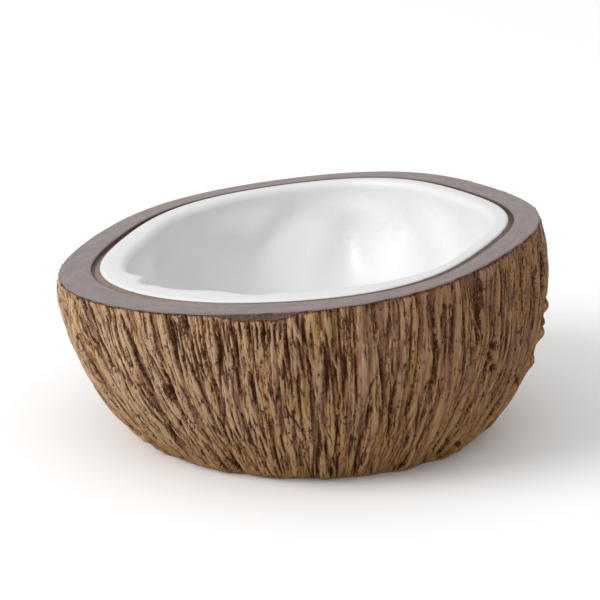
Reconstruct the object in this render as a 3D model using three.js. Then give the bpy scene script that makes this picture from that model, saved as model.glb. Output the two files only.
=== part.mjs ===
// A small water dish cast in one piece in the shape of half a coconut.
// Millimetres and degrees. +Z is up, +X points to the side where the rim stands highest, and the dish
// rests on its foot at Z = 0, with the origin under the middle of the dish.
import * as THREE from 'three';
import { mergeVertices } from 'three/addons/utils/BufferGeometryUtils.js';

// The husk: a flattened ball, cut off level at the foot and on a slope at the rim.
const BELLY_RADIUS = 74;
const DEPTH_SHARE = 0.985;
const BELLY_HEIGHT = 48;
const BELLY_DROP = 70;
const BELLY_POWER = 1.93;
const SHOULDER_RISE = 130;
const FOOT_SHIFT = 3.6;
const RIM_SHIFT = -0.5;
const CUT_HEIGHT = 58.5;
const CUT_SLOPE = 0.112;

// The painted band around the rim, and the groove between it and the white flesh.
const BAND_WIDTH = { low: 9.8, high: 7.9, front: 8, back: 7.6 };
const BAND_PINCH = { angle: -52, spread: 24, depth: 2.4 };
const BAND_DROP = 0.45;
const BAND_ROUND = 0.4;
const GROOVE_WIDTH = { low: 2.7, high: 1.7, front: 1.3, back: 2.1 };
const GROOVE_WALL = 0.4;
const GROOVE_DEPTH = 1.3;

// The white lip and the hollow inside it.
const LIP_RISE = 0.5;
const LIP_WIDTH = { low: 9, high: 5, front: 9.2, back: 4.6 };
const LIP_FALL = 1.2;
const FLOOR_HEIGHT = 16;
const FLOOR_SHIFT = 3;
const HOLLOW_POWER = 2.6;

// How finely the surface is divided.
const COLUMNS = 120;
const FOOT_ROWS = 3;
const HUSK_ROWS = 13;
const HOLLOW_ROWS = 9;

// Long slow waves of the outline: number of waves, height, angle of a crest.
const RIM_WAVES = [
  { count: 1, height: 2.05, crest: 56 },
  { count: 2, height: 1.05, crest: -86 },
  { count: 3, height: 0.8, crest: -41 },
  { count: 4, height: 0.75, crest: 15 },
  { count: 5, height: 0.8, crest: -7 },
  { count: 6, height: 0.65, crest: 2 },
];
const LIP_WAVES = [
  { count: 3, height: 0.6, crest: 10 },
];

// Where the lip reaches further over the hollow: angle, half-width in degrees, extra width.
const LIP_TONGUES = [
  { angle: -155, spread: 5, reach: 3 },
  { angle: -148, spread: 4, reach: -2 },
  { angle: -119, spread: 9, reach: 2.2 },
  { angle: -103, spread: 6, reach: -2.2 },
  { angle: -46, spread: 14, reach: -2.2 },
  { angle: 118, spread: 12, reach: 1.2 },
];

// Shallow ridges that run up the husk: number, height, lean in degrees over the full height.
const HUSK_RIDGES = [
  { count: 24, height: 0.45, lean: 9, wander: 0.9 },
  { count: 17, height: 0.35, lean: -12, wander: 1.4 },
];

// Swellings and hollows in the flesh: angle round the dish, depth from 0 at the lip to 1 at the floor,
// half-width in degrees, half-depth, lean in degrees per unit of depth, and height into the hollow.
const FLESH_LUMPS = [
  { angle: 113, depth: 0.12, spread: 8, reach: 0.2, lean: 10, height: 1.8 },
  { angle: 96, depth: 0.3, spread: 6, reach: 0.5, lean: 30, height: -1.8 },
  { angle: 83, depth: 0.5, spread: 7, reach: 0.3, lean: 12, height: 1.6 },
  { angle: 74, depth: 0.42, spread: 5, reach: 0.25, lean: -8, height: -1.6 },
  { angle: 72, depth: 0.1, spread: 11, reach: 0.16, lean: 0, height: 1.6 },
  { angle: 63, depth: 0.45, spread: 9, reach: 0.35, lean: -10, height: 1.2 },
  { angle: 53, depth: 0.14, spread: 4, reach: 0.2, lean: -6, height: -1 },
  { angle: 38, depth: 0.3, spread: 10, reach: 0.4, lean: 0, height: 1.6 },
  { angle: 139, depth: 0.3, spread: 9, reach: 0.4, lean: 12, height: -1.8 },
  { angle: 160, depth: 0.35, spread: 9, reach: 0.4, lean: 0, height: 1.8 },
];
const FLESH_WAVES = [
  { count: 11, height: 0.9, crest: 10 },
  { count: 6, height: 0.7, crest: 50 },
];

const radians = THREE.MathUtils.degToRad;
const mix = THREE.MathUtils.lerp;
const ease = (value) => THREE.MathUtils.smoothstep(value, 0, 1);

// The sum of a list of waves at one angle round the dish.
function waves(list, angle) {
  let sum = 0;
  for (const wave of list) {
    sum += wave.height * Math.cos(wave.count * (angle - radians(wave.crest)));
  }
  return sum;
}

// A size that differs on the low, high, front and back sides of the dish.
function sided(size, angle) {
  const acrossSides = mix(size.low, size.high, (1 + Math.cos(angle)) / 2);
  const frontToBack = mix(size.front, size.back, (1 + Math.sin(angle)) / 2);
  return mix(frontToBack, acrossSides, Math.cos(angle) * Math.cos(angle));
}

// The smallest turn from one angle to another, in degrees.
function turnBetween(angle, degrees) {
  const turn = (THREE.MathUtils.radToDeg(angle) - degrees) % 360;
  return ((turn + 540) % 360) - 180;
}

// How far the husk swells at a height, from 0 to 1 at the belly.
function swelling(height) {
  const below = Math.max(0, (BELLY_HEIGHT - height) / BELLY_DROP);
  const above = Math.max(0, (height - BELLY_HEIGHT) / SHOULDER_RISE);
  return Math.pow(1 - Math.pow(below, BELLY_POWER), 1 / BELLY_POWER) * Math.sqrt(1 - above * above);
}

// The smooth husk, without its ridges.
function huskPoint(angle, height) {
  const share = height / CUT_HEIGHT;
  const radius = BELLY_RADIUS * swelling(height) + waves(RIM_WAVES, angle) * ease(share);
  const shift = mix(FOOT_SHIFT, RIM_SHIFT, share);
  const y = DEPTH_SHARE * radius * Math.sin(angle);
  return new THREE.Vector3(shift + radius * Math.cos(angle), y, height);
}

// The sloped plane of the cut.
function cutHeight(x) {
  return CUT_HEIGHT + CUT_SLOPE * x;
}

// The height at which the husk meets the cut, found by closing in on it.
function rimHeight(angle) {
  let height = CUT_HEIGHT;
  for (let step = 0; step < 12; step += 1) {
    height = cutHeight(huskPoint(angle, height).x);
  }
  return height;
}

// A point on the cut, moved in from the rim towards the middle of the dish and up or down.
function cutPoint(angle, inset, rise) {
  const point = huskPoint(angle, rimHeight(angle));
  const reach = Math.hypot(point.x - RIM_SHIFT, point.y);
  const keep = 1 - inset / reach;
  const x = mix(RIM_SHIFT, point.x, keep);
  const y = point.y * keep;
  return new THREE.Vector3(x, y, cutHeight(x) + rise);
}

// How wide the white lip is, with its wavy inner edge and its tongues over the hollow.
function lipWidth(angle) {
  let width = sided(LIP_WIDTH, angle) + waves(LIP_WAVES, angle);
  for (const tongue of LIP_TONGUES) {
    width += tongue.reach * Math.exp(-Math.pow(turnBetween(angle, tongue.angle) / tongue.spread, 2));
  }
  return width;
}

function huskRelief(angle, share) {
  let relief = 0;
  for (const ridge of HUSK_RIDGES) {
    const lean = radians(ridge.lean) * share + 0.02 * ridge.wander * Math.sin(5 * angle + 6 * share);
    relief += ridge.height * Math.sin(ridge.count * (angle + lean));
  }
  return relief;
}

// The husk with its ridges, which fade out below the band so that the rim's edge is clean.
function ridgedHuskPoint(angle, share) {
  const height = rimHeight(angle) * share;
  const point = huskPoint(angle, height);
  const fade = ease((1 - share) * 9);
  const relief = huskRelief(angle, share) * fade;
  const out = new THREE.Vector3(Math.cos(angle), Math.sin(angle), 0);
  return point.addScaledVector(out, relief);
}

function footPoint(angle, share) {
  const edge = ridgedHuskPoint(angle, 0);
  return new THREE.Vector3(mix(FOOT_SHIFT, edge.x, share), edge.y * share, 0);
}

function fleshRelief(angle, depth) {
  let relief = waves(FLESH_WAVES, angle + 0.5 * depth);
  for (const lump of FLESH_LUMPS) {
    const across = turnBetween(angle, lump.angle + lump.lean * (depth - lump.depth)) / lump.spread;
    const down = (depth - lump.depth) / lump.reach;
    relief += lump.height * Math.exp(-across * across - down * down);
  }
  return relief;
}

// The hollow runs from the lip's inner edge down to a nearly level floor.
function hollowPoint(angle, share) {
  const turn = share * Math.PI / 2;
  const keep = Math.pow(Math.cos(turn), 2 / HOLLOW_POWER);
  const depth = Math.pow(Math.sin(turn), 2 / HOLLOW_POWER);
  const edge = cutPoint(angle, lipInset(angle) + lipWidth(angle), -LIP_FALL);
  const relief = fleshRelief(angle, depth) * ease(share * 5) * keep;
  const out = new THREE.Vector3(Math.cos(angle), Math.sin(angle), 0);
  const point = new THREE.Vector3(
    mix(FLOOR_SHIFT, edge.x, keep),
    mix(0, edge.y, keep),
    mix(edge.z, FLOOR_HEIGHT, depth),
  );
  return point.addScaledVector(out, -relief);
}

// How wide the band is, with the place where it is pinched.
function bandWidth(angle) {
  const turn = turnBetween(angle, BAND_PINCH.angle) / BAND_PINCH.spread;
  return sided(BAND_WIDTH, angle) - BAND_PINCH.depth * Math.exp(-turn * turn);
}

// The distance from the rim to the outer edge of the flesh.
function lipInset(angle) {
  return bandWidth(angle) + sided(GROOVE_WIDTH, angle);
}

// The rows of the surface, from the middle of the foot, out and up the husk, in over the rim and
// down to the middle of the hollow. Each row gives its point at any angle round the dish.
function surfaceRows() {
  const rows = [];
  for (let row = 0; row < FOOT_ROWS; row += 1) {
    rows.push((angle) => footPoint(angle, row / FOOT_ROWS));
  }
  for (let row = 0; row < HUSK_ROWS; row += 1) {
    rows.push((angle) => ridgedHuskPoint(angle, row / HUSK_ROWS));
  }
  rows.push((angle) => cutPoint(angle, 0, -BAND_DROP - BAND_ROUND));
  rows.push((angle) => cutPoint(angle, BAND_ROUND, -BAND_DROP));
  rows.push((angle) => cutPoint(angle, bandWidth(angle), 0));
  rows.push((angle) => cutPoint(angle, bandWidth(angle) + GROOVE_WALL, -GROOVE_DEPTH));
  rows.push((angle) => cutPoint(angle, lipInset(angle) - GROOVE_WALL / 2, -GROOVE_DEPTH / 2));
  rows.push((angle) => cutPoint(angle, lipInset(angle), 0));
  rows.push((angle) => cutPoint(angle, lipInset(angle) + 1, LIP_RISE));
  rows.push((angle) => cutPoint(angle, lipInset(angle) + 0.6 * lipWidth(angle), LIP_RISE / 2));
  for (let row = 0; row <= HOLLOW_ROWS; row += 1) {
    rows.push((angle) => hollowPoint(angle, row / HOLLOW_ROWS));
  }
  return rows;
}

// A turned blank gives the closed surface; each of its points is then moved to the dish's own shape.
function dishGeometry() {
  const rows = surfaceRows();
  const profile = rows.map((row) => row(Math.PI / 2)).map((point) => new THREE.Vector2(point.y, point.z));
  profile[0].x = 0;
  profile[rows.length - 1].x = 0;
  const blank = new THREE.LatheGeometry(profile, COLUMNS);
  const position = blank.attributes.position;
  for (let index = 0; index < position.count; index += 1) {
    const column = Math.floor(index / rows.length) % COLUMNS;
    const point = rows[index % rows.length](2 * Math.PI * column / COLUMNS);
    position.setXYZ(index, point.x, point.y, point.z);
  }
  blank.deleteAttribute('normal');
  blank.deleteAttribute('uv');
  return mergeVertices(blank);
}

function paintedResin() {
  return new THREE.MeshStandardMaterial({ color: 0x8a6742, roughness: 0.6, metalness: 0 });
}

// Moves the dish so that the middle of its outline stands over the origin.
function centred(geometry) {
  geometry.computeBoundingBox();
  const middle = geometry.boundingBox.getCenter(new THREE.Vector3());
  geometry.translate(-middle.x, -middle.y, -geometry.boundingBox.min.z);
  geometry.computeVertexNormals();
  return geometry;
}

function coconutDish() {
  const dish = new THREE.Mesh(centred(dishGeometry()), paintedResin());
  dish.name = 'coconut_dish';
  return dish;
}

const part = new THREE.Group();
part.add(coconutDish());

export default part;
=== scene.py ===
"""The looks of the coconut half water dish: sculpted husk, brown rim band, white flesh and plain foot."""

import math

import bpy
import numpy as np
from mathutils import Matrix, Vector

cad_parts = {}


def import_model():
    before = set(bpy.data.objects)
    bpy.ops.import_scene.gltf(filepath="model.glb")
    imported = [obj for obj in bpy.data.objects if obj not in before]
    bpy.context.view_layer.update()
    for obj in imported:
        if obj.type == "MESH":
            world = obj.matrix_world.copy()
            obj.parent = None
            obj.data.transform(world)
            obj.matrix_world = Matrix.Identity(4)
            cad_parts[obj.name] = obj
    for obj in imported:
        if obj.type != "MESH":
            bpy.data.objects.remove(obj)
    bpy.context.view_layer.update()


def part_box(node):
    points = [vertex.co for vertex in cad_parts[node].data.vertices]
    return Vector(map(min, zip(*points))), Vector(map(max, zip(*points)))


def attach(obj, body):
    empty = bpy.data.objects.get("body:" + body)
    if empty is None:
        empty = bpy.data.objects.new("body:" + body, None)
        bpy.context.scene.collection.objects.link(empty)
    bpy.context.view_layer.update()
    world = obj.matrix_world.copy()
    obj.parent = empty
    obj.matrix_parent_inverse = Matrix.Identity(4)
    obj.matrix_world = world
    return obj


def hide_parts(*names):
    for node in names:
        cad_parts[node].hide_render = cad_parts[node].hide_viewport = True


NODE = "coconut_dish"
MM = 0.001

# The dish's own sizes, in millimetres and degrees.
BELLY_RADIUS = 74.0
DEPTH_SHARE = 0.985
BELLY_HEIGHT = 48.0
BELLY_DROP = 70.0
BELLY_POWER = 1.93
SHOULDER_RISE = 130.0
FOOT_SHIFT = 3.6
RIM_SHIFT = -0.5
CUT_HEIGHT = 58.5
CUT_SLOPE = 0.112
BAND_WIDTH = {"low": 9.8, "high": 7.9, "front": 8.0, "back": 7.6}
# Where the band narrows: angle, half-width, depth.
BAND_PINCH = (-52, 24, 2.4)
BAND_DROP = 0.45
GROOVE_WIDTH = {"low": 2.7, "high": 1.7, "front": 1.3, "back": 2.1}
GROOVE_DEPTH = 1.3
LIP_RISE = 0.5
LIP_WIDTH = {"low": 9.0, "high": 5.0, "front": 9.2, "back": 4.6}
LIP_FALL = 1.2
# The lip's outer corner: distance in and rise. Its top and inner corner: shares of its width and of its rise.
LIP_CORNER = [(0.0, -0.5), (0.0, -0.1), (0.05, 0.08), (0.2, 0.25), (0.5, 0.38), (1.0, LIP_RISE)]
LIP_PROFILE = [(0.25, 1.1), (0.45, 1.15), (0.62, 1.1), (0.74, 0.85), (0.84, 0.2), (0.91, -0.7), (0.96, -1.5)]
FLOOR_HEIGHT = 16.0
FLOOR_SHIFT = 3.0
HOLLOW_POWER = 2.6

# Waves round the dish: count, height, angle of a crest.
RIM_WAVES = [(1, 2.05, 56), (2, 1.05, -86), (3, 0.8, -41), (4, 0.75, 15), (5, 0.8, -7), (6, 0.65, 2)]
LIP_WAVES = [(3, 0.6, 10)]
# Tongues of the lip into the hollow, or bays where the reach is negative: angle, half-width, reach.
LIP_TONGUES = [
    (-155, 5, 3.0),
    (-148, 4, -2.0),
    (-119, 9, 2.2),
    (-103, 6, -2.2),
    (-46, 14, -2.2),
    (118, 12, 1.2),
]
# Shallow ridges down the husk: count, height, lean, wander.
HUSK_RIDGES = [(24, 0.45, 9, 0.9), (17, 0.35, -12, 1.4)]

# Swellings of the flesh: angle, depth, half-width, half-depth, lean, height.
FLESH_LUMPS = [
    (113, 0.12, 8, 0.2, 10, 1.8),
    (96, 0.3, 6, 0.5, 30, -1.8),
    (83, 0.5, 7, 0.3, 12, 1.6),
    (74, 0.42, 5, 0.25, -8, -1.6),
    (72, 0.1, 11, 0.16, 0, 1.6),
    (63, 0.45, 9, 0.35, -10, 0.9),
    (53, 0.14, 4, 0.2, -6, -1.0),
    (38, 0.3, 10, 0.4, 0, 1.6),
    (139, 0.3, 9, 0.4, 12, -1.8),
    (160, 0.35, 9, 0.4, 0, 1.8),
]
FLESH_WAVES = [(11, 0.9, 10), (6, 0.7, 50)]

# The husk is carved on a sheet that is as long as the husk is round and as deep as its side.
SHEET_RADIUS = 72.0
SHEET_COLUMNS = 1800
SHEET_ROWS = 290
SHEET_SEED = 77
BAND_COLUMNS = SHEET_COLUMNS // 2
FLESH_COLUMNS = 640
HOLLOW_ROWS = 110
LIP_FADE_ROWS = 9
FOOT_MAP_SIZE = 160.0

# Ribs: width, length, width of the valleys between them, height.
RIBS = [(2.6, 34.0, 0.5, 1.05), (1.3, 20.0, 0.45, 0.6), (0.7, 9.0, 0.45, 0.22)]
# Slivers laid on: half-width, length, thickness, count.
SLIVERS = [(1.6, 20.0, 0.7, 380), (1.0, 15.0, 0.55, 800), (0.65, 9.0, 0.36, 1200)]
# Cuts: half-width, length, depth, darkness of the wash in them, count.
CUTS = [(0.6, 16.0, 0.8, 1.0, 170), (0.4, 15.0, 0.6, 0.95, 850), (0.3, 9.0, 0.36, 0.9, 3000)]
COMB_COUNT = 44
PIT_COUNT = 3500
KNOT_COUNT = 9
HUSK_LOWEST = -2.1
HUSK_HIGHEST = 2.7

# The splits that give this dish its own face: angle, start, length, lean, half-width, depth.
SPLITS = [
    (-131.0, 2.0, 42.0, 0.29, 0.36, 0.7),
    (-126.5, 20.0, 26.0, 0.3, 0.58, 1.2),
    (-152.0, 7.0, 14.0, 0.5, 0.5, 0.8),
    (-118.5, 10.0, 21.0, 0.28, 0.58, 0.9),
    (-119.5, 2.0, 24.0, 0.1, 0.58, 1.0),
    (-116.5, 2.5, 26.0, 0.08, 0.72, 1.0),
    (-112.0, 1.4, 20.0, -0.06, 0.47, 0.9),
    (-108.3, 1.6, 28.0, -0.08, 0.76, 1.1),
    (-104.5, 3.0, 20.0, -0.04, 0.43, 0.9),
    (-98.0, 3.5, 9.0, 0.0, 0.5, 1.1),
    (-93.0, 3.0, 30.0, 0.03, 0.58, 0.9),
    (-84.0, 4.0, 34.0, 0.05, 0.72, 1.0),
    (-73.0, 8.0, 36.0, 0.1, 0.79, 1.1),
    (-70.0, 20.0, 30.0, 0.1, 0.58, 0.9),
    (-64.5, 1.5, 27.0, -0.05, 0.5, 0.9),
    (-62.5, 28.0, 30.0, 0.1, 0.65, 0.9),
    (-58.0, 5.0, 30.0, -0.06, 0.65, 1.0),
    (-50.0, 11.0, 30.0, 0.0, 0.65, 1.0),
    (-44.0, 6.0, 22.0, -0.1, 0.58, 0.9),
    (-26.0, 10.0, 30.0, -0.38, 0.58, 0.9),
]
# Knobs that stand out from the outline, each with a dark gap beside it: angle, start, height.
KNOBS = [
    (-8.0, 27.0, 2.42),
    (-5.0, 31.0, 2.09),
    (-3.0, 24.0, 1.65),
    (-13.0, 37.0, 1.65),
    (-18.0, 43.0, 1.87),
    (-24.0, 51.0, 1.76),
    (-40.0, 58.0, 1.21),
    (-166.0, 2.6, 1.87),
    (-146.0, 54.0, 1.32),
]
# The knot on the right of the front: angle, start.
FRONT_KNOT = (-38.0, 28.0)
# The one broad run of the rim's coat down the side: angle, half-width, length.
COAT_RUN = (-99.0, 8.0, 1.9)

# Paints and coats, as linear red, green and blue.
TAN = (0.47, 0.27, 0.14)
PALE = (0.60, 0.41, 0.25)
STRAW = (0.47, 0.27, 0.08)
RUST = (0.40, 0.16, 0.085)
OCHRE = (0.56, 0.30, 0.10)
MAUVE = (0.245, 0.13, 0.098)
UMBER = (0.15, 0.068, 0.034)
# Painted shade: the dark brown laid over the husk's right side, away from the lamp.
PAINTED_SHADE = (0.155, 0.07, 0.016)
# Near-black: the husk's dark paint wash, and the painted shade on the groove's wall.
WASH_AND_SHADE = (0.052, 0.014, 0.003)
BAND = (0.207, 0.164, 0.158)
BAND_DARK = (0.085, 0.05, 0.043)
BEVEL = (0.27, 0.165, 0.13)
COAT = (0.16, 0.102, 0.09)
BARE = (0.45, 0.42, 0.40)
WHITE = (0.71, 0.71, 0.71)
LIP_WHITE = (0.66, 0.66, 0.66)
FLOOR = (0.97, 0.97, 0.97)

# The studio, in metres, degrees and watts.
CAMERA_TILT = 17.2
CAMERA_DISTANCE = 1.0
CAMERA_AIM = (0.00055, 0.0, 0.0393)
CAMERA_LENS = 195.5
SKY_STRENGTH = 0.8
WINDOW_PLACE = (-1.6, -0.75, 1.2)
WINDOW_SIZE = 1.5
WINDOW_POWER = 31.0
FLOOR_HALF_SIDE = 6.0
FLOOR_GAP = 0.0001


# ---------------------------------------------------------------- shape of the dish


def waves(table, angle):
    total = np.zeros_like(angle)
    for count, height, crest in table:
        total += height * np.cos(count * (angle - math.radians(crest)))
    return total


def sided(size, angle):
    """A size that differs on the low, high, front and back sides of the dish."""
    across_sides = mix(size["low"], size["high"], (1.0 + np.cos(angle)) / 2.0)
    front_to_back = mix(size["front"], size["back"], (1.0 + np.sin(angle)) / 2.0)
    return mix(front_to_back, across_sides, np.cos(angle) ** 2)


def turn_between(angle, degrees):
    """The turn from an angle in degrees to an angle in radians, from -180 to 180."""
    return (np.degrees(angle) - degrees + 540.0) % 360.0 - 180.0


def ease(value):
    value = np.clip(value, 0.0, 1.0)
    return value * value * (3.0 - 2.0 * value)


def mix(first, second, share):
    return first + (second - first) * share


def swelling(height):
    below = np.maximum(0.0, (BELLY_HEIGHT - height) / BELLY_DROP)
    above = np.maximum(0.0, (height - BELLY_HEIGHT) / SHOULDER_RISE)
    return (1.0 - below**BELLY_POWER) ** (1.0 / BELLY_POWER) * np.sqrt(1.0 - above * above)


def husk_point(angle, height):
    share = height / CUT_HEIGHT
    radius = BELLY_RADIUS * swelling(height) + waves(RIM_WAVES, angle) * ease(share)
    x = mix(FOOT_SHIFT, RIM_SHIFT, share) + radius * np.cos(angle)
    y = DEPTH_SHARE * radius * np.sin(angle)
    return x, y, height + 0.0 * x


def cut_height(x):
    return CUT_HEIGHT + CUT_SLOPE * x


def rim_height(angle):
    height = np.full_like(angle, CUT_HEIGHT)
    for _ in range(12):
        height = cut_height(husk_point(angle, height)[0])
    return height


def cut_point(angle, inset, rise):
    """A point on the sloping cut, moved in from the rim and up or down."""
    x, y, _ = husk_point(angle, rim_height(angle))
    keep = 1.0 - inset / np.hypot(x - RIM_SHIFT, y)
    x = mix(RIM_SHIFT, x, keep)
    return np.stack([x, y * keep, cut_height(x) + rise], axis=-1)


def band_width(angle):
    place, spread, depth = BAND_PINCH
    return sided(BAND_WIDTH, angle) - depth * np.exp(-((turn_between(angle, place) / spread) ** 2))


def lip_inset(angle):
    return band_width(angle) + sided(GROOVE_WIDTH, angle)


def lip_width(angle):
    width = sided(LIP_WIDTH, angle) + waves(LIP_WAVES, angle)
    for place, spread, reach in LIP_TONGUES:
        width = width + reach * np.exp(-((turn_between(angle, place) / spread) ** 2))
    return width


def husk_relief(angle, share):
    total = np.zeros_like(angle)
    for count, height, lean, wander in HUSK_RIDGES:
        turn = math.radians(lean) * share + 0.02 * wander * np.sin(5.0 * angle + 6.0 * share)
        total += height * np.sin(count * (angle + turn))
    return total


def flesh_relief(angle, depth):
    total = waves(FLESH_WAVES, angle + 0.5 * depth)
    for place, level, spread, reach, lean, height in FLESH_LUMPS:
        across = (turn_between(angle, 0.0) - place - lean * (depth - level) + 540.0) % 360.0 - 180.0
        down = (depth - level) / reach
        total += height * np.exp(-((across / spread) ** 2) - down * down)
    return total


def normals_of(grid):
    """Unit normals of a grid of points whose columns run round the dish."""
    round_way = np.roll(grid, -1, axis=1) - np.roll(grid, 1, axis=1)
    down_way = np.gradient(grid, axis=0)
    normal = np.cross(down_way, round_way)
    length = np.linalg.norm(normal, axis=-1, keepdims=True)
    return normal / np.maximum(length, 1e-9)


# ---------------------------------------------------------------- carving the husk


def blur(field, radius):
    """A soft average over a radius in cells, three plain averages in each direction."""
    half = max(1, int(round(radius)))
    width = 2 * half + 1
    for _ in range(3):
        wrapped = np.concatenate([field[:, -half:], field, field[:, :half]], axis=1)
        sums = np.cumsum(np.pad(wrapped, ((0, 0), (1, 0))), axis=1)
        field = (sums[:, width:] - sums[:, :-width]) / width
        padded = np.pad(field, ((half, half), (0, 0)), mode="edge")
        sums = np.cumsum(np.pad(padded, ((1, 0), (0, 0))), axis=0)
        field = (sums[width:] - sums[:-width]) / width
    return field


class Sheet:
    """The husk's side unrolled: height, paint wash and tint at each point, worked like clay."""

    def __init__(self, depth, seed):
        self.rng = np.random.default_rng(seed)
        self.length = 2.0 * math.pi * SHEET_RADIUS
        self.depth = depth
        self.across = self.length / SHEET_COLUMNS
        self.down = depth / (SHEET_ROWS - 1)
        self.height = np.zeros((SHEET_ROWS, SHEET_COLUMNS))
        self.wash = np.zeros_like(self.height)
        self.tint = np.zeros_like(self.height)

    def noise(self, wide, tall):
        """Smooth random values with lumps of a given width and height in millimetres."""
        field = self.rng.standard_normal(self.height.shape)
        half = max(1, int(round(wide / self.across / 2.0)))
        field = blur_line(field, half, 1, True)
        half = max(1, int(round(tall / self.down / 2.0)))
        field = blur_line(field, half, 0, False)
        return field / field.std()

    def along_fibres(self, field):
        """The field slid sideways, row by row, so that it follows the lean of the fibres."""
        column = np.arange(SHEET_COLUMNS)
        row = np.arange(SHEET_ROWS)[:, None]
        source = column - lean_at(column * self.across) * row * self.down / self.across
        low = np.floor(source).astype(int)
        share = source - low
        return mix(field[row, low % SHEET_COLUMNS], field[row, (low + 1) % SHEET_COLUMNS], share)

    def ribs(self, wide, tall, sharp):
        """Rounded ribs parted by narrow valleys: 0 in a valley and near 1 on a rib."""
        field = self.along_fibres(self.noise(wide, tall))
        return 1.0 - np.exp(-((field / sharp) ** 2))

    def somewhere(self):
        return self.rng.uniform(0.0, self.length), self.rng.uniform(-6.0, self.depth)

    def stray_lean(self, place, spread, odds):
        """The lean of one fibre: nearly that of its neighbours, but now and then quite across."""
        lean = lean_at(place) + self.rng.normal(0.0, spread)
        if self.rng.random() < odds:
            lean += self.rng.choice((-1.0, 1.0)) * self.rng.uniform(0.12, 0.4)
        return lean

    def level(self, place, start):
        column = int(place / self.across) % SHEET_COLUMNS
        row = int(np.clip(start / self.down, 0, SHEET_ROWS - 1))
        return self.height[row, column]

    def window(self, place, start, length, lean, bow, width):
        """Rows and columns that a stroke touches, with its offset across and its share along."""
        first = max(0, int(math.floor(start / self.down)))
        last = min(SHEET_ROWS - 1, int(math.ceil((start + length) / self.down)))
        if last <= first:
            return None
        row = np.arange(first, last + 1)
        along = (row * self.down - start) / length
        along = np.clip(along, 0.0, 1.0)
        middle = place + lean * along * length + bow * along * (1.0 - along) * 4.0
        low = int(math.floor((middle.min() - width) / self.across))
        high = int(math.ceil((middle.max() + width) / self.across))
        column = np.arange(low, high + 1)
        offset = column[None, :] * self.across - middle[:, None]
        return row[:, None], column[None, :] % SHEET_COLUMNS, offset, along[:, None]

    def lay_fibre(self, place, start, length, lean, bow, width, thick, level, tint):
        """A sliver laid on: round-backed, thin at both ends."""
        found = self.window(place, start, length, lean, bow, width)
        if found is None:
            return
        row, column, offset, along = found
        taper = np.sqrt(np.clip(np.sin(math.pi * np.clip(along, 0.02, 0.98)), 0.0, 1.0))
        span = width * (0.35 + 0.65 * taper)
        back = np.clip(1.0 - (offset / span) ** 2, 0.0, 1.0) ** 0.6
        top = level + thick * back * taper
        top = np.where(back > 0.0, top, -9.0)
        now = self.height[row, column]
        wins = top > now
        self.height[row, column] = np.where(wins, top, now)
        self.tint[row, column] = np.where(wins, tint, self.tint[row, column])

    def cut(self, place, start, length, lean, bow, width, deep, ink, wedge=0.5):
        """A groove cut in: steep sides, its widest point at the wedge share of its length."""
        found = self.window(place, start, length, lean, bow, width)
        if found is None:
            return
        row, column, offset, along = found
        rise = np.clip(along / max(wedge, 0.02), 0.0, 1.0)
        fall = np.clip((1.0 - along) / max(1.0 - wedge, 0.02), 0.0, 1.0)
        taper = np.minimum(rise, fall) ** 0.6
        span = np.maximum(width * taper, 0.05)
        wall = np.clip(1.0 - np.abs(offset) / span, 0.0, 1.0)
        shape = np.clip(wall * 1.9, 0.0, 1.0) * taper
        self.height[row, column] -= deep * shape
        wet = np.clip(wall * 1.7 - 0.15, 0.0, 1.0) * np.minimum(1.0, taper * 1.6) * ink
        self.wash[row, column] = np.maximum(self.wash[row, column], wet)

    def dab(self, place, start, wide, tall, high, ink=0.0):
        """A round bump or pit."""
        found = self.window(place, start - 2.2 * tall, 4.4 * tall, 0.0, 0.0, 2.2 * wide)
        if found is None:
            return
        row, column, offset, _ = found
        down = (row * self.down - start) / tall
        shape = np.exp(-((offset / wide) ** 2) - down**2)
        self.height[row, column] += high * shape
        self.wash[row, column] = np.maximum(self.wash[row, column], ink * np.clip(shape * 1.6, 0.0, 1.0))


def soften(field):
    """Each value drawn a little towards its four neighbours."""
    field = 0.5 * field + 0.25 * (np.roll(field, 1, axis=1) + np.roll(field, -1, axis=1))
    above = np.concatenate([field[:1], field[:-1]])
    below = np.concatenate([field[1:], field[-1:]])
    return 0.5 * field + 0.25 * (above + below)


def blur_line(field, half, axis, wrap):
    """A plain average along one axis, twice."""
    width = 2 * half + 1
    field = np.moveaxis(field, axis, 1)
    for _ in range(2):
        mode = "wrap" if wrap else "reflect"
        padded = np.pad(field, ((0, 0), (half, half)), mode=mode)
        sums = np.cumsum(np.pad(padded, ((0, 0), (1, 0))), axis=1)
        field = (sums[:, width:] - sums[:, :-width]) / width
    return np.moveaxis(field, 1, axis)


def lean_at(place):
    """How far the fibres lean sideways for each millimetre down, by their place round the husk."""
    side = np.cos(np.asarray(place / SHEET_RADIUS))
    return np.where(side > 0.0, -0.2, -0.45) * side * np.sqrt(np.abs(side))


def place_of(degrees):
    return math.radians(degrees) * SHEET_RADIUS


def carve_husk(depth):
    """Works the sheet from broad ribs to fine cuts."""
    sheet = Sheet(depth, SHEET_SEED)
    grow_ribs(sheet)
    lay_slivers(sheet)
    split_fibres(sheet)
    comb_rim(sheet)
    cut_splits(sheet)
    prick_pits(sheet)
    sheet.height = mix(sheet.height, soften(sheet.height), 0.7) - sheet.height.mean()
    sheet.wash = mix(sheet.wash, soften(sheet.wash), 0.7)
    return sheet


def grow_ribs(sheet):
    """Ribs of three sizes on gently uneven ground."""
    for wide, tall, sharp, high in RIBS:
        sheet.height += high * sheet.ribs(wide, tall, sharp)
    sheet.height += 0.2 * sheet.noise(7.0, 20.0) + 0.06 * sheet.noise(0.7, 1.4)
    sheet.tint += 0.6 * sheet.along_fibres(sheet.noise(1.6, 24.0))


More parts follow.
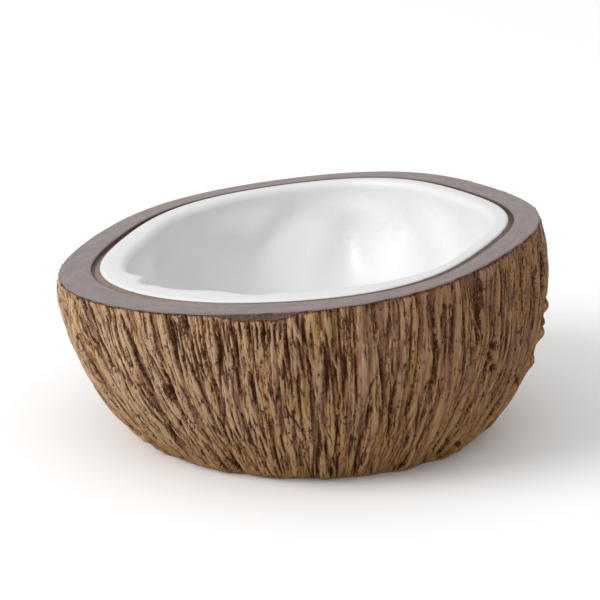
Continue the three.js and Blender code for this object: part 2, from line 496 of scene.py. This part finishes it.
def lay_slivers(sheet):
    """Fibres laid over the ribs, the broad ones first."""
    rng = sheet.rng
    for width, length, thick, count in SLIVERS:
        for _ in range(count):
            place, start = sheet.somewhere()
            long = length * rng.uniform(0.5, 1.6)
            lean = sheet.stray_lean(place, 0.04, 0.06)
            level = sheet.level(place, start + long / 2.0) - rng.uniform(0.1, 0.3)
            bow = rng.normal(0.0, 0.02) * long
            wide = width * rng.uniform(0.6, 1.3)
            high = thick * rng.uniform(0.7, 1.3)
            sheet.lay_fibre(place, start, long, lean, bow, wide, high, level, rng.normal())


def split_fibres(sheet):
    """Cuts between and into the fibres, the broad ones first."""
    rng = sheet.rng
    for width, length, deep, ink, count in CUTS:
        for _ in range(count):
            place, start = sheet.somewhere()
            long = length * rng.uniform(0.45, 1.6)
            lean = sheet.stray_lean(place, 0.035, 0.07)
            bow = rng.normal(0.0, 0.02) * long
            wide = width * rng.uniform(0.55, 1.3)
            reach = deep * rng.uniform(0.5, 1.3)
            sheet.cut(place, start, long, lean, bow, wide, reach, ink, rng.uniform(0.1, 0.8))


def comb_rim(sheet):
    """Combs of close parallel cuts that hang from the rim."""
    rng = sheet.rng
    for _ in range(COMB_COUNT):
        place = rng.uniform(0.0, sheet.length)
        start = rng.uniform(0.8, 3.0)
        lean = lean_at(place) + rng.normal(0.0, 0.03)
        for tooth in range(rng.integers(4, 9)):
            long = rng.uniform(7.0, 28.0)
            step = tooth * rng.uniform(0.8, 1.3)
            tilt = lean + rng.normal(0.0, 0.012)
            wide = rng.uniform(0.28, 0.5)
            deep = rng.uniform(0.3, 0.7)
            sheet.cut(place + step, start, long, tilt, 0.0, wide, deep, 0.95, 0.12)


def prick_pits(sheet):
    """Pits all over, and a few knots at the back."""
    rng = sheet.rng
    for _ in range(PIT_COUNT):
        place, start = sheet.somewhere()
        size = rng.uniform(0.24, 0.42)
        tall = size * rng.uniform(0.8, 2.0)
        deep = rng.uniform(0.1, 0.35)
        sheet.dab(place, start, size, tall, -deep, rng.uniform(0.2, 0.9))
    for _ in range(KNOT_COUNT):
        knot(sheet, place_of(rng.uniform(10.0, 170.0)), rng.uniform(12.0, sheet.depth - 14.0))


def knot(sheet, place, start):
    """A swelling with dark eyes in it."""
    rng = sheet.rng
    sheet.dab(place, start, 3.4, 4.2, 0.6)
    for _ in range(5):
        right = rng.normal(0.0, 1.7)
        down = rng.normal(0.0, 2.6)
        wide = rng.uniform(0.5, 1.0)
        tall = rng.uniform(0.6, 1.2)
        sheet.dab(place + right, start + down, wide, tall, -rng.uniform(0.9, 1.5), 1.0)
        sheet.dab(place + right + 1.5, start + down - 0.8, 0.9, 0.9, rng.uniform(0.3, 0.7))


def cut_splits(sheet):
    """The splits, the front knot and the knobs that give this dish its own face."""
    for degrees, start, long, lean, wide, deep in SPLITS:
        sheet.cut(place_of(degrees), start, long, lean, 0.3, wide, deep, 1.0, 0.4)
    knot(sheet, place_of(FRONT_KNOT[0]), FRONT_KNOT[1])
    for degrees, start, high in KNOBS:
        place = place_of(degrees)
        sheet.dab(place, start, 1.7, 2.4, high)
        sheet.dab(place - 1.4, start - 2.2, 1.3, 1.0, -1.3, 1.0)


# ---------------------------------------------------------------- meshes


def strip_map(columns, rows, strips, top=1.0):
    """Map coordinates for each face corner of a ring of quads, cut into strips laid above each other."""
    per = columns // strips
    column = np.arange(columns)
    strip = column // per
    left = (column - strip * per) / per
    right = left + 1.0 / per
    margin = 0.004
    left = margin + left * (1.0 - 2.0 * margin)
    right = margin + right * (1.0 - 2.0 * margin)
    low = strip / strips * top + margin
    tall = top / strips - 2.0 * margin
    upper = 1.0 - np.arange(rows - 1) / (rows - 1)
    lower = 1.0 - np.arange(1, rows) / (rows - 1)
    u = np.stack([left, left, right, right], axis=-1)
    u = np.broadcast_to(u[None], (rows - 1, columns, 4))
    v_up = low[None, :] + tall * upper[:, None]
    v_down = low[None, :] + tall * lower[:, None]
    v = np.stack([v_up, v_down, v_down, v_up], axis=-1)
    return np.stack([u, v], axis=-1).reshape(-1, 2)


def ring_mesh(name, grid, uv, fields, flip=False, cap=None):
    """A mesh from a grid of points in millimetres whose columns close round the dish."""
    rows, columns = grid.shape[:2]
    index = np.arange(rows * columns).reshape(rows, columns)
    after = np.roll(index, -1, axis=1)
    quads = np.stack([index[:-1], index[1:], after[1:], after[:-1]], axis=-1).reshape(-1, 4)
    points = grid.reshape(-1, 3)
    loops = quads.reshape(-1)
    starts = np.arange(len(quads)) * 4
    sizes = np.full(len(quads), 4)
    if cap is not None:
        middle = len(points)
        points = np.vstack([points, cap])
        fan = np.stack([index[-1], np.full(columns, middle), after[-1]], axis=-1)
        starts = np.concatenate([starts, len(loops) + 3 * np.arange(columns)])
        sizes = np.concatenate([sizes, np.full(columns, 3)])
        loops = np.concatenate([loops, fan.reshape(-1)])
    mesh = bpy.data.meshes.new(name)
    mesh.vertices.add(len(points))
    mesh.vertices.foreach_set("co", (points * MM).astype(np.float32).ravel())
    mesh.loops.add(len(loops))
    mesh.loops.foreach_set("vertex_index", loops.astype(np.int32))
    mesh.polygons.add(len(sizes))
    mesh.polygons.foreach_set("loop_start", starts.astype(np.int32))
    mesh.polygons.foreach_set("use_smooth", np.ones(len(sizes), dtype=bool))
    mesh.update(calc_edges=True)
    layer = mesh.uv_layers.new(name="OFBake")
    layer.data.foreach_set("uv", uv.astype(np.float32).ravel())
    for key, values in fields.items():
        kind = "FLOAT_VECTOR" if values.ndim == 3 else "FLOAT"
        flat = values.reshape(rows * columns, -1)
        if cap is not None:
            flat = np.vstack([flat, flat[-columns:].mean(axis=0, keepdims=True)])
        attribute = mesh.attributes.new(key, kind, "POINT")
        slot = "vector" if kind == "FLOAT_VECTOR" else "value"
        attribute.data.foreach_set(slot, flat.astype(np.float32).ravel())
    if flip:
        mesh.flip_normals()
    mesh.validate()
    piece = bpy.data.objects.new(name, mesh)
    bpy.context.scene.collection.objects.link(piece)
    return piece


def ring_angles(columns):
    return 2.0 * math.pi * np.arange(columns) / columns


def smooth_side(angle, share):
    """Points of the smooth husk, from just below the band at share 0 to the foot at share 1."""
    height = (rim_height(angle) - BAND_DROP - 0.1) * (1.0 - share)
    x, y, z = husk_point(angle, height)
    relief = husk_relief(angle, 1.0 - share) * ease(share * 9.0)
    return np.stack([x + relief * np.cos(angle), y + relief * np.sin(angle), z + 0.0 * x], axis=-1)


def even_shares(rows):
    """Shares of the way down the husk that give rows of even length along its curved side."""
    share = np.linspace(0.0, 1.0, 400)
    line = smooth_side(np.full_like(share, math.radians(-90)), share)
    step = np.linalg.norm(np.diff(line, axis=0), axis=1)
    run = np.concatenate([[0.0], np.cumsum(step)])
    return np.interp(np.linspace(0.0, run[-1], rows), run, share), run[-1]


def coat_edge(angles, ragged):
    """How far the rim's brown coat runs down the side: a thin line, with one broad run at the front."""
    place, spread, length = COAT_RUN
    run = length * np.exp(-((turn_between(angles, place) / spread) ** 4))
    return 0.12 + run + 0.06 * np.sin(11.0 * angles) + 0.1 * ragged


def husk_grid():
    """The husk's points, with the paint's wash, crests, lows, tint and coat at each of them."""
    shares, depth = even_shares(SHEET_ROWS)
    sheet = carve_husk(depth)
    angles, downs = np.meshgrid(ring_angles(SHEET_COLUMNS), shares)
    base = smooth_side(angles, downs)
    normal = normals_of(base)
    outward = base * (1.0, 1.0, 0.0)
    normal *= np.sign((normal * outward).sum(axis=-1, keepdims=True))
    down = np.linspace(0.0, depth, SHEET_ROWS)[:, None] + 0.0 * angles
    edge = coat_edge(angles, sheet.noise(1.2, 40.0)[:1])
    start = ease((down - edge) / 0.8)
    finish = 0.12 + 0.88 * ease((depth - down - 0.3) / 3.2)
    wear = 0.16 * sheet.noise(1.8, 40.0)[:1]
    height = np.clip(sheet.height * start * finish, HUSK_LOWEST, HUSK_HIGHEST) + wear * (1.0 - start)
    height = np.minimum(height, 0.15 + 0.3 * (depth - down))
    grid = base + normal * height[..., None]
    grid[..., 2] = np.maximum(grid[..., 2], 0.0)
    grid[-1, :, 2] = 0.0
    fine = blur(height, 0.45 / sheet.across) - height
    broad = blur(height, 1.3 / sheet.across) - height
    in_cracks = 0.8 * np.clip((fine - 0.05) / 0.34, 0.0, 1.0)
    in_valleys = 0.35 * np.clip((broad - 0.2) / 0.9, 0.0, 1.0)
    wash = np.maximum(np.maximum(in_cracks, in_valleys), sheet.wash * 0.95)
    under_coat = 0.8 * np.exp(-(((down - edge - 0.15) / 0.4) ** 2))
    wash = np.maximum(np.clip(wash * start, 0.0, 1.0), under_coat)
    origin = angles - lean_at(angles * SHEET_RADIUS) * down / SHEET_RADIUS
    fibre = np.stack([SHEET_RADIUS * np.cos(origin), SHEET_RADIUS * np.sin(origin), down], axis=-1)
    fields = {
        "wash": wash,
        "crest": np.clip(-broad / 0.42, 0.0, 1.0) * start,
        "low": np.clip(broad / 0.55, 0.0, 1.0),
        "tint": np.clip(blur(sheet.tint, 1.0) * 0.5, -1.0, 1.0),
        "coat": 1.0 - ease((down - edge + 0.3) / 0.4),
        "fibre": fibre,
        "down": down / depth,
    }
    return grid, fields


# ---------------------------------------------------------------- materials


class Field:
    """A value or colour that varies over a surface, worked with ordinary arithmetic."""

    def __init__(self, paint, socket):
        self.paint = paint
        self.socket = socket

    def _join(self, operation, other, swap=False):
        pair = (other, self) if swap else (self, other)
        return self.paint.node("ShaderNodeMath", {"operation": operation}, {0: pair[0], 1: pair[1]})

    def __add__(self, other):
        return self._join("ADD", other)

    def __radd__(self, other):
        return self._join("ADD", other, True)

    def __sub__(self, other):
        return self._join("SUBTRACT", other)

    def __rsub__(self, other):
        return self._join("SUBTRACT", other, True)

    def __mul__(self, other):
        return self._join("MULTIPLY", other)

    def __rmul__(self, other):
        return self._join("MULTIPLY", other, True)

    def between(self, low, high):
        """0 below low, 1 above high, with an eased step between them."""
        inputs = {"Value": self, "From Min": low, "From Max": high}
        return self.paint.node("ShaderNodeMapRange", {"interpolation_type": "SMOOTHSTEP"}, inputs)


class Paint:
    """A material that is being mixed."""

    def __init__(self, name):
        self.material = bpy.data.materials.new(name)
        self.material.use_nodes = True
        self.tree = self.material.node_tree
        self.tree.nodes.clear()

    def node(self, kind, settings=None, inputs=None, out=0):
        """Any node: its type, its settings, and the values or fields of its inputs."""
        node = self.tree.nodes.new(kind)
        for key, value in (settings or {}).items():
            setattr(node, key, value)
        for key, value in (inputs or {}).items():
            if isinstance(value, Field):
                self.tree.links.new(value.socket, node.inputs[key])
            elif isinstance(value, tuple) and len(value) == 3 and node.inputs[key].type == "RGBA":
                node.inputs[key].default_value = (*value, 1.0)
            else:
                node.inputs[key].default_value = value
        return Field(self, node.outputs[out])

    def stored(self, name, vector=False):
        return self.node("ShaderNodeAttribute", {"attribute_name": name}, out=1 if vector else 2)

    def mix(self, share, first, second):
        return self.node("ShaderNodeMix", {"data_type": "RGBA"}, {0: share, 6: first, 7: second}, out=2)

    def stretch(self, vector, x, y, z):
        return self.node("ShaderNodeVectorMath", {"operation": "MULTIPLY"}, {0: vector, 1: (x, y, z)})

    def noise(self, vector, scale, detail=4.0, rough=0.55):
        inputs = {"Vector": vector, "Scale": scale, "Detail": detail, "Roughness": rough}
        return self.node("ShaderNodeTexNoise", {"normalize": True}, inputs)

    def bump(self, height, distance, strength=1.0):
        inputs = {"Height": height, "Distance": distance, "Strength": strength}
        return self.node("ShaderNodeBump", None, inputs)

    def finish(self, inputs):
        shader = self.node("ShaderNodeBsdfPrincipled", None, inputs)
        output = self.tree.nodes.new("ShaderNodeOutputMaterial")
        self.tree.links.new(shader.socket, output.inputs["Surface"])
        return self.material


def dimmed(colour, share):
    return tuple(share * channel for channel in colour)


def husk_paint():
    """Tan, straw, rust and mauve streaks along the fibres, pale crests, a dark wash in every crack, and
    painted shade that darkens the right side.
    """
    paint = Paint("husk_paint")
    fibre = paint.stored("fibre", vector=True)
    wash = paint.stored("wash")
    crest = paint.stored("crest")
    low = paint.stored("low")
    tint = paint.stored("tint")
    coat = paint.stored("coat")
    bare = paint.stored("down").between(0.988, 0.996)
    low_down = paint.stored("down").between(0.45, 1.0)
    long = paint.stretch(fibre, 1.0, 1.0, 0.12)
    patch = paint.noise(paint.stretch(fibre, 1.0, 1.0, 0.3), 0.11, 3.0)
    streak = paint.noise(long, 0.55, 5.0, 0.6)
    hair = paint.noise(long, 2.4, 4.0, 0.7)
    line = paint.noise(paint.stretch(fibre, 1.0, 1.0, 0.07), 1.7, 2.0, 0.5)
    speck = paint.noise(paint.stretch(fibre, 1.0, 1.0, 0.5), 2.4, 3.0, 0.65)
    colour = paint.mix((streak + 0.2 * tint - 0.12 * low).between(0.4, 0.56), MAUVE, TAN)
    colour = paint.mix((patch + 0.22 * tint).between(0.44, 0.6) * 0.8, colour, STRAW)
    colour = paint.mix((speck * 0.5 + patch * 0.6 - 0.2 * tint).between(0.56, 0.68) * 0.6, colour, RUST)
    haze = paint.noise(paint.stretch(fibre, 1.0, 1.0, 0.2), 0.26, 3.0)
    colour = paint.mix((haze + 0.15 * low).between(0.5, 0.62) * 0.5, colour, MAUVE)
    # Painted shade: the husk is painted darker towards its right side, away from the lamp. Its pale crests
    # fade there and a dark brown is laid on.
    side = paint.node("ShaderNodeSeparateXYZ", None, {0: fibre}).between(-70.0, 50.0)
    light = (crest * 0.9 + hair * 0.8 + speck * 0.3 - side * 0.22).between(0.5, 0.95)
    colour = paint.mix(light * (0.85 - side * 0.47), colour, PALE)
    # Painted shade on the right side.
    colour = paint.mix(side * 0.36, colour, PAINTED_SHADE)
    colour = paint.mix(low_down * 0.4, colour, OCHRE)
    drip = (wash * 0.7 + low * 0.3 + (0.5 - hair) * 1.5).between(0.02, 0.55)
    colour = paint.mix(drip * 0.52, colour, UMBER)
    first_crack = 1.0 - ((line - 0.45) * (line - 0.45)).between(0.0, 0.0007)
    second_crack = 1.0 - ((line - 0.57) * (line - 0.57)).between(0.0, 0.0005)
    crack = first_crack + second_crack * 0.8
    dark = (wash * 1.1 + crack * 0.6 + (0.5 - hair) * 1.6 + (0.5 - speck) * 1.4).between(0.52, 1.0)
    colour = paint.mix(dark * 0.95, colour, WASH_AND_SHADE)
    band = paint.mix(speck.between(0.3, 0.7), BAND_DARK, COAT)
    colour = paint.mix(coat, colour, band)
    colour = paint.mix(bare * 0.7, colour, BARE)
    inputs = {
        "Base Color": colour,
        "Roughness": 0.66 - 0.12 * dark + 0.1 * speck,
        "Specular IOR Level": 0.12,
        "Normal": paint.bump(hair * 0.9 + speck * 0.6 - crack * 0.35, 0.0006, 1.0),
    }
    return paint.finish(inputs)


def rim_paint():
    """One even brown coat, darker where it rounds over at its edges, painted near-black on the groove's wall
    as painted shade, and worn on the bevel by the flesh.
    """
    paint = Paint("rim_paint")
    turn = paint.stored("turn", vector=True)
    wall = paint.stored("wall")
    bevel = paint.stored("bevel")
    edge = paint.stored("edge")
    streak = paint.noise(paint.stretch(turn, 1.0, 1.0, 6.0), 0.16, 4.0)
    grain = paint.noise(turn, 0.9, 3.0)
    share = (streak * 0.7 + grain * 0.3).between(0.36, 0.66)
    colour = paint.mix(share, dimmed(BAND, 0.88), dimmed(BAND, 1.1))
    colour = paint.mix(edge * 0.55, colour, BAND_DARK)
    worn = paint.mix(grain.between(0.35, 0.65), dimmed(BEVEL, 0.6), BEVEL)
    colour = paint.mix(bevel, colour, worn)
    # Painted shade: the groove's outer wall painted near-black.
    colour = paint.mix(wall * 0.9, colour, WASH_AND_SHADE)
    inputs = {
        "Base Color": colour,
        "Roughness": 0.5 - 0.14 * streak,
        "Specular IOR Level": 0.45,
        "Normal": paint.bump(grain * 0.6 + streak * 0.4, 0.0003, 0.5),
    }
    return paint.finish(inputs)


def flesh_paint():
    """Satin white, a shade greyer on the lip than in the hollow."""
    paint = Paint("flesh_paint")
    place = paint.node("ShaderNodeTexCoord", out=3)
    slow = paint.noise(place, 55.0, 2.0)
    fine = paint.noise(place, 420.0, 3.0)
    lip = paint.stored("lip")
    white = paint.mix(lip, WHITE, LIP_WHITE)
    shade = paint.mix(lip, dimmed(WHITE, 0.985), LIP_WHITE)
    colour = paint.mix(slow, shade, white)
    inputs = {
        "Base Color": colour,
        "Roughness": 0.36 + 0.1 * slow,
        "Specular IOR Level": 0.5,
        "Normal": paint.bump(slow * 0.8 + fine * 0.2, 0.0011, 0.6),
    }
    return paint.finish(inputs)


def foot_paint():
    """Bare tan casting with faint blots."""
    paint = Paint("foot_paint")
    place = paint.node("ShaderNodeTexCoord", out=3)
    blot = paint.noise(place, 60.0, 4.0)
    grain = paint.noise(place, 700.0, 3.0)
    colour = paint.mix(blot.between(0.35, 0.65), dimmed(TAN, 0.45), dimmed(TAN, 0.7))
    inputs = {
        "Base Color": colour,
        "Roughness": 0.6 + 0.15 * grain,
        "Normal": paint.bump(grain, 0.0002, 0.5),
    }
    return paint.finish(inputs)


def floor_paint():
    paint = Paint("floor_paint")
    return paint.finish({"Base Color": FLOOR, "Roughness": 0.9, "Specular IOR Level": 0.1})


# ---------------------------------------------------------------- pieces


def make_husk(place):
    """The carved side, with its top and bottom edges for the pieces that join it."""
    grid, fields = husk_grid()
    piece = ring_mesh("husk", place(grid), strip_map(SHEET_COLUMNS, SHEET_ROWS, 2), fields)
    piece.data.materials.append(husk_paint())
    return piece, grid[0], grid[-1]


def make_foot(place, edge):
    """The flat underside, from the husk's bottom edge to its middle."""
    middle = edge.mean(axis=0)
    rings = [mix(edge, middle, share) for share in (0.0, 0.01, 0.03, 0.2, 0.45, 0.7)]
    grid = np.stack(rings)
    grid[..., 2] = 0.0
    flat = place(grid)[..., :2] / FOOT_MAP_SIZE + 0.5
    uv = fan_map(flat, place(middle[None])[0, :2] / FOOT_MAP_SIZE + 0.5)
    piece = ring_mesh("foot", place(grid), uv, {}, cap=place(middle[None] * (1.0, 1.0, 0.0)))
    piece.data.materials.append(foot_paint())
    return piece


def fan_map(flat, middle):
    """Map coordinates for each face corner of a ring of quads closed by a fan, from flat points."""
    after = np.roll(flat, -1, axis=1)
    quads = np.stack([flat[:-1], flat[1:], after[1:], after[:-1]], axis=2).reshape(-1, 2)
    centre = np.broadcast_to(middle, (flat.shape[1], 2))
    fan = np.stack([flat[-1], centre, after[-1]], axis=1).reshape(-1, 2)
    return np.vstack([quads, fan])


def make_band(place, edge):
    """The band, the groove's wall painted dark as its shade, and the worn bevel up to the flesh."""
    columns = BAND_COLUMNS
    angle = ring_angles(columns)
    width = band_width(angle)
    gap = sided(GROOVE_WIDTH, angle)
    uneven = 0.10 * np.sin(9.0 * angle + 1.0) + 0.07 * np.sin(23.0 * angle)
    rows = [edge[::2]]
    marks = [(1.0, 0.0, 0.0)]

    def add(inset, rise, edge_darkening, shaded=0.0, bevel=0.0):
        rows.append(cut_point(angle, inset, rise))
        marks.append((edge_darkening, shaded, bevel))

    add(0.1, -BAND_DROP + 0.02, 0.6)
    add(0.3, -BAND_DROP + 0.12, 0.25)
    add(0.7, -BAND_DROP + 0.16, 0.05)
    for share in (0.2, 0.4, 0.6, 0.8):
        swell = uneven * math.sin(math.pi * share)
        add(width * share, mix(-BAND_DROP + 0.16, 0.02, share) + swell, 0.0)
    add(width - 0.45, 0.02, 0.05)
    # Painted shade: the shaded share paints these rows near-black for the groove's shade, most of all on its
    # steep outer wall.
    add(width - 0.12, -0.06, 0.3, 0.15)
    add(width + 0.04, -0.3, 0.6, 0.9)
    add(width + 0.14, -0.75 * GROOVE_DEPTH, 0.5, 1.0)
    wall = width + 0.3
    add(wall, -GROOVE_DEPTH, 0.5, 1.0)
    add(wall + 0.2 * (gap - 0.3), -0.95 * GROOVE_DEPTH, 0.2, 0.5, 0.6)
    add(wall + 0.4 * (gap - 0.3), -0.8 * GROOVE_DEPTH, 0.0, 0.0, 1.0)
    add(wall + 0.7 * (gap - 0.3), -0.5 * GROOVE_DEPTH, 0.0, 0.0, 1.0)
    add(width + gap - 0.05, -0.14 * GROOVE_DEPTH, 0.0, 0.25, 0.75)
    add(width + gap + 0.02, -0.05, 0.0, 0.25, 0.75)
    add(width + gap + 0.4, -0.4, 0.0, 0.0, 1.0)
    grid = np.stack(rows)
    count = len(rows)
    values = np.array(marks)
    around = np.broadcast_to(angle, (count, columns))
    across = np.arange(count)[:, None] * 1.0 + 0.0 * around
    turn = np.stack([SHEET_RADIUS * np.cos(around), SHEET_RADIUS * np.sin(around), across], axis=-1)
    fields = {
        "edge": np.repeat(values[:, :1], columns, axis=1),
        "wall": np.repeat(values[:, 1:2], columns, axis=1),
        "bevel": np.repeat(values[:, 2:3], columns, axis=1),
        "turn": turn,
    }
    piece = ring_mesh("rim_band", place(grid), strip_map(columns, count, 4), fields, flip=True)
    piece.data.materials.append(rim_paint())
    return piece


def make_flesh(place):
    """The rounded white lip and the lumpy hollow down to its floor."""
    columns = FLESH_COLUMNS
    angle = ring_angles(columns)
    start = lip_inset(angle)
    width = lip_width(angle)
    rows = []
    for inset, rise in LIP_CORNER:
        rows.append(cut_point(angle, start + inset, rise))
    for share, rise in LIP_PROFILE:
        rows.append(cut_point(angle, start + mix(1.0, width, share), LIP_RISE * rise))
    lip_rows = len(rows)
    edge = cut_point(angle, start + width, -LIP_FALL)
    out = np.stack([np.cos(angle), np.sin(angle)], axis=-1)
    for row in range(HOLLOW_ROWS):
        share = row / HOLLOW_ROWS
        turn = share**1.15 * math.pi / 2.0
        keep = math.cos(turn) ** (2.0 / HOLLOW_POWER)
        depth = math.sin(turn) ** (2.0 / HOLLOW_POWER)
        relief = flesh_relief(angle, np.full_like(angle, depth)) * ease(5.0 * share) * keep
        x = mix(FLOOR_SHIFT, edge[:, 0], keep) - relief * out[:, 0]
        y = mix(0.0, edge[:, 1], keep) - relief * out[:, 1]
        z = mix(edge[:, 2], FLOOR_HEIGHT, depth)
        rows.append(np.stack([x, y, z], axis=-1))
    grid = np.stack(rows)
    middle = np.array([[FLOOR_SHIFT, 0.0, FLOOR_HEIGHT]])
    uv = strip_map(columns, len(rows), 2, top=0.98)
    # The tiny faces at the floor's middle share a narrow strip along the top of the map.
    fan = np.stack([0.002 + 0.0 * angle, 0.985 + 0.012 * angle / 7.0], axis=-1)
    fan = np.stack([fan, fan + (0.004, 0.0), fan + (0.004, 0.001)], axis=1).reshape(-1, 2)
    lip = 1.0 - ease((np.arange(len(rows)) - lip_rows) / LIP_FADE_ROWS)
    fields = {"lip": np.repeat(lip[:, None], columns, axis=1)}
    piece = ring_mesh("flesh", place(grid), np.vstack([uv, fan]), fields, flip=True, cap=place(middle))
    piece.data.materials.append(flesh_paint())
    return piece


# ---------------------------------------------------------------- camera, light and floor


def make_camera(shift):
    tilt = math.radians(CAMERA_TILT)
    forward = Vector((0.0, math.cos(tilt), -math.sin(tilt)))
    target = Vector((CAMERA_AIM[0] + shift[0], CAMERA_AIM[1] + shift[1], CAMERA_AIM[2]))
    data = bpy.data.cameras.new("camera")
    data.sensor_width = 36.0
    data.lens = CAMERA_LENS
    data.clip_start = 0.05
    data.clip_end = 50.0
    camera = bpy.data.objects.new("camera", data)
    camera.location = target - forward * CAMERA_DISTANCE
    camera.rotation_euler = forward.to_track_quat("-Z", "Y").to_euler()
    bpy.context.scene.collection.objects.link(camera)
    bpy.context.scene.camera = camera


def make_lamp():
    """A broad round lamp, high on the left and a little to the front."""
    data = bpy.data.lights.new("window", "AREA")
    data.shape = "DISK"
    data.size = WINDOW_SIZE
    data.energy = WINDOW_POWER
    lamp = bpy.data.objects.new("window", data)
    place = Vector(WINDOW_PLACE)
    lamp.location = place
    lamp.rotation_euler = (Vector((0.0, 0.0, 0.03)) - place).to_track_quat("-Z", "Y").to_euler()
    bpy.context.scene.collection.objects.link(lamp)


def make_floor():
    side = FLOOR_HALF_SIDE
    corners = [(-side, -side, 0), (side, -side, 0), (side, side, 0), (-side, side, 0)]
    mesh = bpy.data.meshes.new("floor")
    mesh.from_pydata(corners, [], [(0, 1, 2, 3)])
    mesh.materials.append(floor_paint())
    floor = bpy.data.objects.new("floor", mesh)
    floor.location.z = -FLOOR_GAP
    bpy.context.scene.collection.objects.link(floor)


def make_studio():
    world = bpy.data.worlds.new("studio")
    world.use_nodes = True
    sky = world.node_tree.nodes["Background"]
    sky.inputs["Color"].default_value = (1.0, 1.0, 1.0, 1.0)
    sky.inputs["Strength"].default_value = SKY_STRENGTH
    bpy.context.scene.world = world
    bpy.context.scene.view_settings.view_transform = "Standard"
    make_lamp()
    make_floor()


def placer():
    """A function from the shape's own frame to the part's, so that the smooth dish fills the part's box."""
    low, high = (np.array(corner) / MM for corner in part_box(NODE))
    angles, shares = np.meshgrid(ring_angles(240), np.linspace(0.0, 1.0, 60))
    side = smooth_side(angles, shares).reshape(-1, 3)
    own_low = side.min(axis=0)
    own_high = side.max(axis=0)
    scale = (high[0] - low[0]) / (own_high[0] - own_low[0])
    middle = (own_low + own_high) / 2.0
    shift = np.array([(low[0] + high[0]) / 2.0, (low[1] + high[1]) / 2.0, low[2]])
    pin = np.array([middle[0], middle[1], 0.0])

    def place(points):
        return (points - pin) * scale + shift

    return place, (shift - pin * scale) * MM


def main():
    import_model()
    place, shift = placer()
    make_camera(shift)
    make_studio()
    husk, rim_edge, foot_edge = make_husk(place)
    foot = make_foot(place, foot_edge)
    band = make_band(place, rim_edge)
    flesh = make_flesh(place)
    finishes = [
        (husk, "husk_paint"),
        (foot, "husk_paint"),
        (band, "rim_paint"),
        (flesh, "flesh_paint"),
    ]
    for piece, slot in finishes:
        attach(piece, "root")
        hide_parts(NODE)


main()
